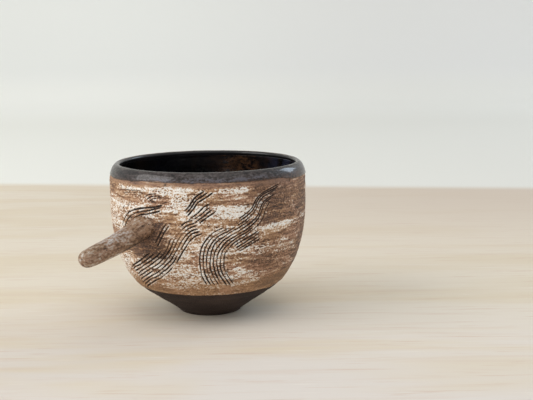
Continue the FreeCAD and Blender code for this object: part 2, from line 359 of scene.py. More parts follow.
STROKES = [
    dict(tines=8, depth=1.0,
         lifts=[(0, 46, 57, 0.9), (1, 49, 57.5, 0.9), (2, 52.5, 56, 0.8), (3, 61, 99, 0.95),
                (6, 63, 99, 0.95), (5, 75.5, 99, 0.9), (7, 74.5, 99, 0.8)],
         stations=[(83.2, 67.3, 77.8, 60.3), (76.6, 65.8, 75, 59.1), (70.3, 64.4, 72.6, 57.2),
                   (66.6, 62.3, 71.5, 55.2), (64.7, 59.3, 70.9, 53.2), (63.7, 57.8, 69.3, 51),
                   (62.1, 56.7, 67.9, 50), (60.3, 55.7, 66.3, 48.8), (57.9, 54.4, 63.2, 46.8),
                   (54.3, 52.8, 60, 45.1), (50.8, 51.2, 56.6, 43.9), (46.7, 49.5, 53.6, 42.4),
                   (43.8, 48.4, 51.5, 41.1), (40.6, 47, 49.9, 39.5), (37.5, 44.4, 48.3, 37.8),
                   (34.9, 40.6, 47.7, 36.2), (33.8, 36.3, 47.5, 34.3), (33.4, 32.8, 47.4, 32.2),
                   (33.6, 30.5, 47.8, 30.4), (34.3, 27, 49.1, 27.2), (35.8, 23.8, 52, 24.2),
                   (38.4, 20.2, 56, 20.2)]),
    dict(tines=1, depth=0.45,
         stations=[(51, 38.2), (50, 35.3), (49.8, 31.8), (50.4, 28.8)]),
    dict(tines=4, depth=1.15,
         stations=[(68.5, 47.8, 70.5, 44), (65, 45.6, 67.5, 42.4), (61.8, 44.5, 64.8, 41.3),
                   (59.4, 43.6, 62.2, 40.4), (56.5, 42.3, 59, 39.2), (53.8, 40.9, 56.6, 38.2),
                   (52.4, 40, 55, 37.4)]),
    dict(tines=4, depth=1.15,
         lifts=[(0, -40, 8.6, 0.95), (1, 1.5, 9.6, 0.8), (2, 4, 40, 0.75), (3, 9.5, 40, 0.75)],
         stations=[(16.2, 52, 22.5, 51.4), (15.5, 51, 21, 50.2), (13.8, 49, 18.9, 47.6),
                   (12, 47.2, 17, 45.8), (10.5, 45.4, 15.6, 44.2), (9.3, 43.4, 14, 41.6),
                   (8.2, 42.2, 13.2, 40), (5, 39.8, 8.2, 35.9), (2, 37.9, 5, 34), (-1, 36.2, 1.8, 32.4),
                   (-5.5, 34.1, -3, 30.4), (-10.2, 32.1, -7.8, 28.2), (-14.5, 30.6, -11.8, 26.9),
                   (-18.6, 29, -15.8, 25.6), (-22, 27.7, -19.2, 24)]),
    dict(tines=6, depth=1.1,
         lifts=[(0, 16.5, 25, 0.7), (1, 18, 26, 0.5), (2, 19, 27, 0.4), (2, 1, 6, 0.6), (4, 19, 24, 0.5),
                (5, 15, 21, 0.6)],
         stations=[(32.5, 53.7, 36, 47.2), (30.2, 53, 34.2, 46.9), (27.2, 52.4, 32.6, 46.5),
                   (25, 51.2, 31.2, 46), (23.2, 49.4, 30.2, 45.3), (20.5, 47.2, 29.3, 44.4),
                   (19, 45.4, 28.2, 43), (17.5, 44, 27, 41.6), (16.7, 42.4, 25.6, 40.2),
                   (15.6, 40.6, 24.2, 38.6), (15, 39.5, 23.2, 37), (14, 38.4, 21.8, 35),
                   (12.2, 36.9, 19.3, 32.2), (8.8, 34.4, 13, 27.8), (5.8, 32.8, 9.8, 26.1),
                   (2.8, 31, 6.5, 24.4), (-2.5, 28.9, 0.5, 22.2), (-7.2, 26.8, -5.8, 20),
                   (-11.2, 25.5, -9.9, 18.5), (-15, 24.2, -13.6, 17.2), (-18, 22.6, -16, 15.8)]),
    dict(tines=3, depth=1.45,
         stations=[(38, 66.9, 42, 65.7), (36.8, 66.3, 40.8, 65), (35, 65.3, 39.3, 64.1),
                   (33.7, 64.6, 37.4, 63), (32.4, 63.8, 35, 62), (31.3, 62.9, 33.7, 61.4),
                   (30, 61.4, 32.4, 60), (28.9, 59.8, 31.2, 58.5), (27.6, 58.5, 29.8, 57),
                   (26.5, 57.6, 28.5, 55.6), (25.6, 56.8, 27.4, 54.5)]),
    dict(tines=4, depth=1.15,
         stations=[(40.5, 61, 43.5, 57.6), (38.8, 60, 42, 56.6), (37.4, 59.7, 41, 56),
                   (36.2, 58.9, 40, 55.4), (34.5, 57.2, 38.2, 54.4), (32.8, 56.1, 36.6, 53.4),
                   (30.8, 55, 35.3, 52.6), (29.2, 54, 34, 51.8), (28, 53, 32.7, 50.8)]),
    dict(tines=3, depth=1.25,
         stations=[(14.2, 59.8, 13.4, 57.6), (10, 58.8, 10.6, 56.5), (5.2, 58, 5.4, 55.4),
                   (0, 57.4, 1.1, 54.8), (-4.6, 56.6, -1.6, 54.1), (-9.2, 55.1, -4.2, 52.5),
                   (-12.6, 52.9, -7.3, 50.4), (-15.2, 50.8, -10.1, 48.4), (-17.6, 48.8, -12.9, 46.6),
                   (-19.6, 47, -15.4, 45)]),
    dict(tines=3, depth=1.25,
         stations=[(-4.9, 60.5, -14.3, 58.4), (-6.1, 58.6, -17.2, 55.4)]),
    dict(tines=3, depth=0.9,
         stations=[(10.3, 64.8, 16.3, 63.2), (5.3, 64.2, 10.3, 62.8), (2.9, 63.1, 6.4, 62.1),
                   (0.6, 61.4, 3.8, 59.9)]),
    dict(tines=3, depth=0.6,
         stations=[(1.9, 66.2, 1.8, 64.4), (-2.6, 65.3, -2.6, 63.4), (-11.6, 65, -9.6, 63),
                   (-19.5, 64.4, -17.5, 62.3)]),
]

# White slip left on the wall: (angle from, to, height from, to, how much).
PATCHES = [
    (-26, 6, 65.5, 67.4, 0.85), (8, 31, 65, 67.4, 1), (18, 31, 57.8, 65.8, 1), (26, 35, 53.3, 60.8, 0.9),
    (40, 62, 53.4, 58.8, 1), (43, 62, 65, 67.2, 0.8), (30, 38, 65.8, 67.2, 0.7), (9, 37, 26.2, 29, 0.95),
    (52, 63, 26.4, 29.2, 0.8), (-76, -16, 46, 59.4, 0.68), (-54, -21, 20.3, 33.2, 0.85),
    (-23, -12, 28.4, 34.4, 0.8), (69, 86, 47, 49.5, 0.9), (89, 100, 47.5, 49.9, 0.7),
    (52, 75, 38.2, 39.6, 0.6), (47, 61, 36.8, 39.8, 0.55), (23, 31, 34.8, 39, 0.7),
    (28, 41, 38, 39.4, 0.6), (6, 14, 52.1, 55.5, 0.8), (13, 21, 55.8, 60.3, 0.75),
    (-13, -4, 53.9, 59.5, 0.65), (-5, 2, 56.7, 61.4, 0.8), (85, 94, 56.8, 58.5, 0.6),
    (82, 99, 34.5, 38, 0.5), (83, 89, 39.3, 42.2, 0.5), (100, 108, 26.3, 29.1, 0.5),
    (-7, 22, 22.9, 26.4, 0.5), (19, 34, 39.8, 45.8, 0.45), (34, 48, 28.8, 45.8, 0.35),
    (60, 72, 50.8, 62.8, 0.4), (44, 58, 45.5, 50, 0.5), (58, 76, 35.8, 40, 0.5), (6, 45, 19.5, 25, 0.62),
    (46, 74, 21.5, 26.5, 0.62), (-16, 0, 24, 31, 0.4), (2, 14, 29, 34, 0.8), (14, 30, 25, 37, 0.52),
    (30, 45, 46, 52, 0.4), (-60, -30, 18, 26, 0.6),
]

# Where the wall is painted darker and browner: partly browner slip, partly painted shade, as the handle's
# shadow below its root and the shaded right-hand side.
PAINTED_SHADE_AND_BROWN = [
    (66, 82, 49.3, 56.8, 0.8), (100, 135, 18.8, 66.8, 0.6), (60, 82, 31.3, 36.3, 0.5),
    (2, 16, 41, 51, 0.8), (-13, 16, 33.5, 44, 0.85), (64, 94, 56, 70, 0.62), (64, 100, 33, 40, 0.35),
    (84, 105, 50.8, 64.8, 0.35), (62, 90, 24.8, 31.8, 0.3), (-12, 15, 49, 54, 0.5),
    (72, 104, 17, 22.5, 0.6),
]
PITS = [(54, 23.6), (49.7, 28.3), (47.7, 34.8), (95.4, 27.7), (92, 67.8), (15.4, 68.9), (61.3, 59.3),
        (-7.6, 44.5)]

# The side away from the handle carries the same strokes again, turned round and shifted.
# Each is (which stroke, degrees, mm).
FAR_STROKES = [(0, 158, -2), (4, 190, -1), (3, 232, 2), (2, 150, 1), (5, 246, -1), (1, 200, 2),
               (6, 205, 1), (0, 228, 1), (8, 130, 2), (9, 262, -2), (5, 120, -3)]


def far_side(stroke, turn, lift):
    """The same stroke, turned round the cup and moved up or down, with every tine down."""
    stations = [tuple(value + (lift if place % 2 else turn) for place, value in enumerate(row))
                for row in stroke["stations"]]
    return dict(stroke, stations=stations, lifts=[])


def tine_line(stations, share, rough):
    """One tine's line between the stroke's two edges, as (degrees, height), with a hand's unsteadiness."""
    stations = np.array(stations, float)
    edges = stations[:, :2], stations[:, -2:]
    degree = CLAY_RADIUS * math.pi / 180
    middle = (edges[0] + edges[1]) / 2 * (degree, 1)
    along = np.r_[0, np.cumsum(np.hypot(*np.diff(middle, axis=0).T))]
    line = edges[0] * (1 - share) + edges[1] * share
    marks = np.arange(0, along[-1], 0.1)
    line = np.c_[np.interp(marks, along, line[:, 0]), np.interp(marks, along, line[:, 1])]
    width = min(18, len(line) // 4)
    padded = np.pad(line, ((width, width), (0, 0)), mode="reflect", reflect_type="odd")
    kernel = np.hanning(2 * width + 3)[1:-1]
    kernel /= kernel.sum()
    line = np.c_[np.convolve(padded[:, 0], kernel, "valid"), np.convolve(padded[:, 1], kernel, "valid")]
    knots = np.linspace(0, marks[-1], max(3, int(marks[-1] / 3.5)))
    line[:, 0] += 0.13 * np.interp(marks, knots, rough.normal(0, 1, len(knots)))
    line[:, 1] += 0.11 * np.interp(marks, knots, rough.normal(0, 1, len(knots)))
    return line


def comb_fields(shape, turned, strokes):
    """How far each grid point is from the nearest tine, in groove widths, and how strong that tine is."""
    rows, columns = shape
    heights, travel = turned.line[:rows, 1], turned.travel[:rows]
    nearness, strength = np.full(shape, 9.0), np.zeros(shape)
    reach_rows = int(math.ceil(TINE_REACH / (travel[1] - travel[0])))
    for number, stroke in enumerate(strokes):
        rough = np.random.default_rng(100 + number)
        for tine in range(stroke["tines"]):
            share = tine / max(1, stroke["tines"] - 1)
            line = tine_line(stroke["stations"], share, rough)
            radius = np.interp(line[:, 1], heights, turned.line[:rows, 0])
            run = np.r_[0, np.cumsum(np.hypot(np.diff(line[:, 0]) * radius[1:] * math.pi / 180,
                                              np.diff(line[:, 1])))]
            start, end = rough.uniform(0, 1.2, 2)
            power = smoothstep(start - 1, start + 1.6, run) * smoothstep(end - 1, end + 2.2, run[-1] - run)
            power *= 0.85 + 0.28 * np.interp(run, np.linspace(0, run[-1], 18), rough.uniform(-1, 1, 18))
            power *= stroke["depth"] * rough.uniform(0.85, 1.1)
            for lifted, low, high, share_off in stroke.get("lifts", []):
                if lifted == tine:
                    inside = smoothstep(low, low + 2, line[:, 0])
                    inside *= smoothstep(-high, -high + 2, -line[:, 0])
                    power *= 1 - share_off * inside
            marks = np.arange(0, run[-1], TINE_STEP)
            angle, height = (np.interp(marks, run, line[:, i]) for i in (0, 1))
            power = np.interp(marks, run, power)
            keep = (power > 0.06) & (height > heights[0] + 1) & (height < heights[-1])
            angle, height, power = angle[keep], height[keep], power[keep]
            if not len(angle):
                continue
            radius = np.interp(height, heights, turned.line[:rows, 0])
            spot = np.interp(height, heights, travel)
            row0 = np.interp(height, heights, np.arange(rows)).round().astype(int)
            cell = 360 / columns
            column0 = np.round(angle / cell).astype(int)
            reach = int(math.ceil(TINE_REACH / (radius.min() * math.radians(cell))))
            dr, dc = np.meshgrid(np.arange(-reach_rows, reach_rows + 1), np.arange(-reach, reach + 1),
                                 indexing="ij")
            r = np.clip(row0[:, None] + dr.ravel(), 0, rows - 1)
            c = column0[:, None] + dc.ravel()
            across = (c * cell - angle[:, None]) * radius[:, None] * math.pi / 180
            away = np.hypot(across, travel[r] - spot[:, None])
            q = away / (GROOVE_WIDTH + GROOVE_SPREAD * power[:, None])
            c %= columns
            np.minimum.at(nearness, (r, c), q)
            nearest = q <= nearness[r, c] + 1e-9
            strength[r[nearest], c[nearest]] = (power[:, None] + np.zeros_like(q))[nearest]
    return nearness, strength


def patch_field(angles, heights, patches, seed):
    """How strongly the patches cover each point, with ragged edges that trail off sideways."""
    share = angles / 360
    cover = np.zeros(np.broadcast(angles, heights).shape)
    shift = layered(share, heights, (5, 1.3, 60, seed), (3, 0.7, 140, seed + 1))
    drift = layered(share, heights, (0.8, 4, 26, seed + 2), (0.35, 2, 90, seed + 3))
    for start, end, low, high, amount in patches:
        middle = (start + end) / 2
        half = (end - start) / 2
        away = np.abs((angles - middle + 180 + shift) % 360 - 180)
        level = np.abs(heights + drift - (low + high) / 2)
        tall = (high - low) / 2
        inside = smoothstep(-half - 3.5, -half + 3.5, -away) * smoothstep(-tall - 0.9, -tall + 0.6, -level)
        cover = np.maximum(cover, amount * inside)
    return cover


# ------------------------------------------------------------------ the slip-coated wall

def wrapped(angles):
    return (angles + 180) % 360 - 180


def root_swell(angles, heights):
    """How far the wall is drawn out round the handle's root, in millimetres."""
    across = np.radians(wrapped(angles)) * CLAY_RADIUS
    up = heights - ROOT_HEIGHT
    left = smoothstep(2, -6, across)
    top = smoothstep(-3, 5, up)
    spread = np.hypot(across / 10.5, up / np.where(up > 0, 9.5, 8.0))
    full = 0.25 + 2.2 * np.maximum(top * (0.25 + 0.75 * left), 0.55 * left)
    return full * (1 - smoothstep(0.35, 1.75, spread))


def far_marks():
    """White patches, dark patches and pits scattered over the side away from the handle."""
    white = []
    for _ in range(34):
        middle, level = rng.uniform(112, 318), rng.uniform(20, 68)
        width, tall = rng.uniform(6, 30), rng.choice([1.2, 2.0, 4.5], p=[0.5, 0.3, 0.2])
        white.append((middle - width / 2, middle + width / 2, level - tall / 2, level + tall / 2,
                      rng.uniform(0.5, 1.0)))
    dark = [(start, start + rng.uniform(10, 40), level, level + rng.uniform(3, 12), rng.uniform(0.3, 0.7))
            for start, level in zip(rng.uniform(110, 300, 14), rng.uniform(22, 60, 14))]
    return white, dark, [(rng.uniform(110, 320), rng.uniform(20, 68)) for _ in range(9)]


def make_slip_coat():
    line = outside_line(SLIP)
    line = line[(line[:, 1] >= BARE_TOP - 1) & (line[:, 1] <= RIM_FOOT + 3.4)]
    outer = resample(line, SLIP_STEP)
    outer = outer[outer[:, 1] >= BARE_TOP]
    inner = outside_line(-1.3)
    inner = inner[(inner[:, 1] >= outer[0, 1] + 0.3) & (inner[:, 1] <= outer[-1, 1] - 0.2)]
    inner = resample(inner, 2.5)[::-1]
    coat = Turned(np.vstack([outer, inner]), SLIP_ROUND, closed=True)
    shape = (len(outer), coat.columns)
    angles = wrapped(np.degrees(coat.angle))[None, :]
    heights = outer[:, 1:]
    share = coat.share[None, :]

    strokes = STROKES + [far_side(STROKES[i], turn, lift) for i, turn, lift in FAR_STROKES]
    near, power = comb_fields(shape, coat, strokes)
    groove = np.exp(-near ** 2) * np.minimum(power, 1.2)
    burr = np.exp(-((near - 2.0) / 0.6) ** 2) * np.minimum(power, 1)

    far_white, far_dark, far_pits = far_marks()
    white = patch_field(angles, heights, PATCHES + far_white, 11)
    # darker patches: painted shade and browner slip near the handle, browner slip on the far side
    dark = patch_field(angles, heights, PAINTED_SHADE_AND_BROWN + far_dark, 31)
    pits = np.zeros(shape)
    for angle, height in PITS + far_pits:
        across = np.radians(wrapped(angles - angle)) * CLAY_RADIUS
        pits = np.maximum(pits, np.exp(-(np.hypot(across, heights - height) / PIT_RADIUS) ** 2))

    throwing = layered(share, heights, (0.12, 5.5, 3, 41), (0.05, 1.6, 7, 42))
    brushing = layered(share, heights, (0.05, 0.55, 60, 43), (0.04, 0.8, 220, 44))
    grain = layered(share, heights, (0.03, 0.5, 560, 45))
    relief = throwing + brushing + grain + SLIP_BUILD * white
    relief = relief - GROOVE_DEPTH * groove + BURR * burr - PIT_DEPTH * pits
    relief = relief * (1 - 0.6 * smoothstep(RIM_EDGE - 2.5, RIM_EDGE - 0.5, heights))
    settle = smoothstep(BARE_TOP + 1.3, BARE_TOP, heights)
    coat.push(relief + root_swell(angles, heights) - 0.3 * settle)
    edge = layered(share, 0 * heights, (0.35, 1, 70, 46), (0.25, 1, 19, 47))
    coat.slide(edge * smoothstep(BARE_TOP + 3, BARE_TOP, heights))

    comb = np.exp(-((near - 2.1) / 1.2) ** 2) * np.minimum(power, 1)
    return coat.mesh("slip_coated_wall", dict(groove=groove, comb=comb, white=white, painted_shade_and_brown=dark, pit=pits))


def slip_material():
    """Slip brushed on and rubbed back, from brown clay through tan to white."""
    s = Shader("brushed_white_slip_over_brown_stoneware")
    z = s.axis("Z")
    bands = s.noise((55, 55, 400), detail=4, seed=1)
    streaks = s.noise((140, 140, 950), seed=2)
    cloud = s.noise((60, 60, 110), roughness=0.5, seed=3)
    grain = s.noise((850, 850, 1250), detail=2, seed=4)
    grit = s.noise((1300, 1300, 1700), detail=1, seed=5)
    patchy = s.noise((150, 150, 330), detail=2, roughness=0.5, seed=6)
    high = s.step(z, 0.0668, 0.0685)
    low = s.step(z, 0.0262, 0.0215)
    white, comb = s.field("white"), s.field("comb")
    # painted shade and browner slip, broken up by the bands
    painted_shade_and_brown = s.times(s.field("painted_shade_and_brown"), s.step(bands, 0.3, 0.58))

    thick = s.plus(s.times(white, 0.38), 0.37)
    thick = s.plus(thick, s.times(comb, 0.16))
    thick = s.minus(thick, s.times(painted_shade_and_brown, 0.34))
    thick = s.minus(thick, s.times(s.larger(high, low), 0.05))
    lively = s.plus(s.times(s.larger(white, comb), 0.6), 0.5)
    lively = s.times(lively, s.plus(s.times(s.step(patchy, 0.36, 0.62), 0.8), 0.6))
    lively = s.times(lively, s.minus(1.0, s.times(high, 0.4)))
    swing = s.plus(s.times(grain, 1.9), s.times(grit, 1.5))
    swing = s.times(s.minus(swing, 1.7), lively)
    thick = s.plus(thick, swing)
    drift = s.plus(s.times(bands, 0.95), s.times(streaks, 1.25))
    thick = s.plus(thick, s.minus(drift, 1.1))

    tan = s.mix(s.step(cloud, 0.42, 0.62), (0.45, 0.268, 0.148), (0.44, 0.25, 0.16))
    base = s.mix(s.step(thick, -0.02, 0.22), (0.05, 0.029, 0.021), (0.22, 0.115, 0.064))
    base = s.mix(s.step(thick, 0.22, 0.44), base, tan)
    base = s.mix(s.step(thick, 0.46, 0.64), base, (0.76, 0.59, 0.44))
    base = s.mix(s.step(thick, 0.6, 0.8), base, (0.95, 0.93, 0.885))
    # painted shade and browner slip pull the colour towards dark brown
    base = s.mix(s.times(painted_shade_and_brown, 0.5), base, (0.12, 0.075, 0.06))
    base = s.mix(s.times(high, 0.45), base, (0.3, 0.185, 0.135))
    base = s.mix(s.times(low, 0.35), base, (0.41, 0.235, 0.11))

    flecks = s.dots(820, 0.1, 0.2, seed=7)
    base = s.mix(s.times(flecks, 0.8), base, (0.06, 0.036, 0.028))
    cut = s.larger(s.step(s.field("groove"), 0.2, 0.6), s.field("pit"))
    base = s.mix(cut, base, (0.03, 0.019, 0.015))
    relief = s.plus(thick, s.times(grain, 0.4))
    return s.finish(base, 0.62, relief, 0.0003, specular=0.35)


# ------------------------------------------------------------------ glazes


RIM_EDGE = RIM_FOOT + 1.5          # where the glaze band ends on the outside


def make_rim_glaze():
    outer = outside_line(0.5)
    outer = resample(outer[outer[:, 1] >= RIM_EDGE], RIM_STEP)
    inner = inside_line(HOLLOW_RADIUS + 0.05, FLOOR_TOP - 1, CREST + 0.08)
    inner = resample(inner[inner[:, 1] >= CREST - 4.2], RIM_STEP)
    under_out = outside_line(-0.9)
    under_out = under_out[(under_out[:, 1] >= RIM_EDGE + 0.5) & (under_out[:, 1] < CREST - 1.4)]
    under_in = inner[::-4] + np.array([0.9, 0.0])
    under_in = under_in[under_in[:, 1] < CREST - 1.4]
    loop = np.vstack([outer, inner[1:], under_in, resample(under_out, 0.9)[::-1]])
    band = Turned(loop, RIM_ROUND, closed=True)
    share, heights = band.share[None, :], outer[:, 1:]
    angles = wrapped(np.degrees(band.angle))[None, :]
    sag = layered(share, 0 * heights, (0.3, 1, 11, 51), (0.12, 1, 70, 52), (0.12, 1, 210, 55))
    left = smoothstep(10, -10, angles) * smoothstep(-80, -50, angles)
    right = smoothstep(76, 102, angles) * smoothstep(170, 130, angles)
    loose = smoothstep(CREST - 1.0, RIM_EDGE, heights)
    band.slide((sag - 1.1 * left - 1.7 * right) * loose)
    skin = layered(share, heights, (0.07, 2.5, 9, 53), (0.04, 1, 90, 54))
    band.push(skin - 0.4 * smoothstep(RIM_EDGE + 0.8, RIM_EDGE, heights) ** 2)
    edge = smoothstep(RIM_EDGE + 1.8 + 2.2 * right, RIM_EDGE + 0.6 * right, heights)
    # thicker glaze above the band's lower edge, with a painted blue-grey sheen along it; less at the sides
    glaze_pool_and_painted_sheen = np.exp(-((heights - RIM_EDGE - 1.4) / 1.1) ** 2) * (1 - 0.8 * np.maximum(left, right))
    thin = np.maximum(left, 1.4 * smoothstep(56, 84, angles) * smoothstep(170, 130, angles)) + 0 * heights
    drop = np.r_[0, np.cumsum(np.hypot(*np.diff(inner, axis=0).T))][1:, None]
    inside, arris = np.zeros(band.radius.shape), np.zeros(band.radius.shape)
    within = slice(len(outer), len(outer) + len(drop))
    inside[within] = smoothstep(0.35, 0.95, drop)
    arris[within] = np.exp(-((drop - 0.3) / 0.35) ** 2)
    return band.mesh("rim_glaze_band", dict(edge=edge, inside=inside, arris=arris, glaze_pool_and_painted_sheen=glaze_pool_and_painted_sheen, thin=thin))


def rim_material():
    s = Shader("dark_satin_rim_glaze")
    cloud = s.noise((90, 90, 420), detail=4, seed=11)
    streak = s.noise((170, 170, 1100), seed=15)
    grain = s.noise((800, 800, 1250), detail=2, roughness=0.65, seed=12)
    blotch = s.noise((300, 300, 480), roughness=0.65, seed=17)
    tone = s.plus(s.times(cloud, 1.1), s.times(streak, 1.1))
    tone = s.plus(tone, s.plus(s.times(grain, 1.7), s.times(blotch, 1.1)))
    tone = s.minus(tone, 2.15)
    tone = s.plus(tone, s.times(s.field("glaze_pool_and_painted_sheen"), 0.16))
    tone = s.minus(tone, s.times(s.field("thin"), 0.2))
    base = s.mix(s.step(tone, 0.05, 0.36), (0.011, 0.008, 0.0075), (0.042, 0.031, 0.028))
    base = s.mix(s.step(tone, 0.36, 0.66), base, (0.084, 0.07, 0.068))
    # painted blue-grey sheen where the glaze lies thicker
    bluish = s.times(s.field("glaze_pool_and_painted_sheen"), s.step(tone, 0.3, 0.7))
    base = s.mix(s.times(bluish, 0.8), base, (0.115, 0.112, 0.14))
    edge = s.times(s.field("edge"), s.step(s.noise(700, roughness=0.5, seed=13), 0.36, 0.6))
    base = s.mix(s.times(edge, 0.75), base, (0.11, 0.062, 0.045))
    arris = s.times(s.field("arris"), s.step(s.noise(380, roughness=0.5, seed=16), 0.36, 0.55))
    base = s.mix(s.times(arris, 0.7), base, (0.15, 0.11, 0.085))
    base = s.mix(s.field("inside"), base, (0.0045, 0.004, 0.0045))
    base = s.mix(s.dots(600, 0.12, 0.24, seed=14), base, (0.012, 0.009, 0.008))
    rough = s.plus(s.times(s.step(grain, 0.3, 0.7), 0.2), 0.32)
    relief = s.plus(s.times(grain, 0.6), s.times(streak, 0.6))
    return s.finish(base, rough, relief, 0.0003, coat=0.5, coat_roughness=0.1, specular=0.2)


def make_liner():
    inner = inside_line(HOLLOW_RADIUS - 0.1, FLOOR_TOP + 1.4, CREST - 0.1)
    inner = inner[inner[:, 1] < CREST - 1.6]
    inner = resample(inner, LINER_STEP)
    inner = inner[inner[:, 0] > 0.6]
    inner[:, 0] += 0.32 * smoothstep(CREST - 3.2, CREST - 1.8, inner[:, 1])
    under = inner[::-3] + np.array([0.9, 0.0])
    under[:, 1] -= 0.8 * smoothstep(34, 20, under[:, 0])
    liner = Turned(np.vstack([inner[::-1], under[::-1]]), LINER_ROUND)
    share, heights = liner.share[None, :], liner.line[:, 1:]
    shown = (np.arange(len(liner.line)) < len(inner))[:, None]
    rings = layered(share, heights, (0.16, 5, 3, 61), (0.05, 1.7, 9, 62))
    liner.push(np.where(shown, -rings * smoothstep(8, 20, liner.line[:, :1]), 0))
    return liner.mesh("liner_glaze_pool")


def liner_material():
    s = Shader("black_brown_liner_glaze")
    cloud = s.noise((45, 45, 60), detail=4, seed=21)
    runs = s.noise((260, 260, 40), seed=22)
    grain = s.noise(1100, detail=2, roughness=0.5, seed=23)
    base = s.mix(s.step(cloud, 0.46, 0.72), (0.0055, 0.005, 0.0055), (0.05, 0.024, 0.012))
    base = s.mix(s.times(s.step(runs, 0.55, 0.75), 0.5), base, (0.085, 0.045, 0.022))
    base = s.mix(s.times(s.step(grain, 0.66, 0.78), 0.6), base, (0.11, 0.07, 0.045))
    side, sheen_breakup = s.axis("Y"), s.noise(150, roughness=0.5, seed=24)
    warm = s.times(s.step(side, -0.026, -0.016), s.step(side, 0.002, -0.007))
    warm = s.times(warm, s.step(s.noise((260, 260, 500), detail=4, seed=25), 0.42, 0.62))
    base = s.mix(warm, base, (0.075, 0.036, 0.018))
    # painted reflection: a blue sheen on the right inner wall, broken up by noise
    painted_blue_sheen = s.times(s.step(side, -0.003, 0.02), s.step(sheen_breakup, 0.36, 0.56))
    base = s.mix(s.times(painted_blue_sheen, 0.85), base, (0.022, 0.027, 0.052))
    base = s.mix(s.step(side, -0.022, -0.036), base, (0.003, 0.003, 0.003))
    relief = s.plus(cloud, s.times(grain, 0.15))
    rough = s.plus(s.times(cloud, 0.1), 0.12)
    return s.finish(base, rough, relief, 0.0004, coat=0.6, coat_roughness=0.06)


# ------------------------------------------------------------------ bare clay: bowl and foot ring


def make_bowl():
    hidden = outside_line(-0.7)
    bare = outside_line(0.0)
    bare = resample(bare[bare[:, 1] <= BARE_TOP + 0.8], BOWL_STEP)
    hidden = resample(hidden[(hidden[:, 1] > BARE_TOP + 1.4) & (hidden[:, 1] < CLAY_CREST - 0.5)], 1.5)
    inner = inside_line(HOLLOW_RADIUS + 0.5, UNDERSIDE + 4.0, CLAY_CREST - 0.6)
    inner = resample(inner, 1.5)
    inner = inner[inner[:, 0] > 0.5]
    bottom = np.c_[np.linspace(0.5, bare[0, 0], 40)[:-1], np.full(39, UNDERSIDE)]
    line = np.vstack([bottom, bare, hidden, inner])
    clay = Turned(line, BOWL_ROUND)
    share, heights = clay.share[None, :], clay.line[:, 1:]
    lathe = layered(0 * share, heights, (0.07, 0.9, 1, 71)) + layered(share, heights, (0.05, 1.4, 5, 72))
    grog = layered(share, heights, (0.035, 0.45, 300, 73))
    outer = (np.arange(len(line)) < len(bottom) + len(bare))[:, None]
    clay.push(np.where(outer, lathe + grog, 0))
    return clay.mesh("stoneware_bowl")


def make_foot():
    land = FOOT_INNER + FOOT_LAND
    turn = np.linspace(0, math.pi / 2, 9)
    edge = np.c_[land + FOOT_EDGE * np.sin(turn), FOOT_EDGE_RISE * (1 - np.cos(turn))]
    line = np.vstack([[(FOOT_INNER + 0.4, 0.0)], edge, [(UNDERSIDE_RADIUS, UNDERSIDE)],
                      [(UNDERSIDE_RADIUS - 1.5, UNDERSIDE + 0.4), (FOOT_INNER - 0.3, UNDERSIDE + 0.4)],
                      [(FOOT_INNER, UNDERSIDE - 0.6), (FOOT_INNER, 0.4), (FOOT_INNER + 0.1, 0.1)]])
    loop = resample(np.vstack([line, line[:1]]), FOOT_STEP)[:-1]
    ring = Turned(loop, FOOT_ROUND, closed=True)
    share, heights = ring.share[None, :], ring.line[:, 1:]
    wear = layered(share, heights, (0.06, 0.8, 40, 81), (0.05, 2, 7, 82))
    ring.push(np.minimum(wear, 0.05) * smoothstep(0.0, 0.6, heights))
    return ring.mesh("foot_ring_turned")


def clay_material():
    s = Shader("bare_dark_stoneware")
    cloud = s.noise((70, 70, 150), roughness=0.5, seed=31)
    rings = s.noise((18, 18, 1300), detail=2, seed=32)
    grain = s.noise(1800, roughness=0.7, seed=33)
    base = s.mix(s.step(cloud, 0.35, 0.7), (0.03, 0.018, 0.0145), (0.056, 0.036, 0.028))
    base = s.mix(s.times(s.step(rings, 0.5, 0.7), 0.4), base, (0.07, 0.047, 0.037))
    base = s.mix(s.times(s.step(grain, 0.6, 0.75), 0.5), base, (0.1, 0.07, 0.055))
    base = s.mix(s.dots(900, 0.1, 0.2, seed=34), base, (0.012, 0.008, 0.007))
    relief = s.plus(grain, s.times(rings, 0.7))
    return s.finish(base, 0.78, relief, 0.0003, specular=0.3)


# ------------------------------------------------------------------ the handle


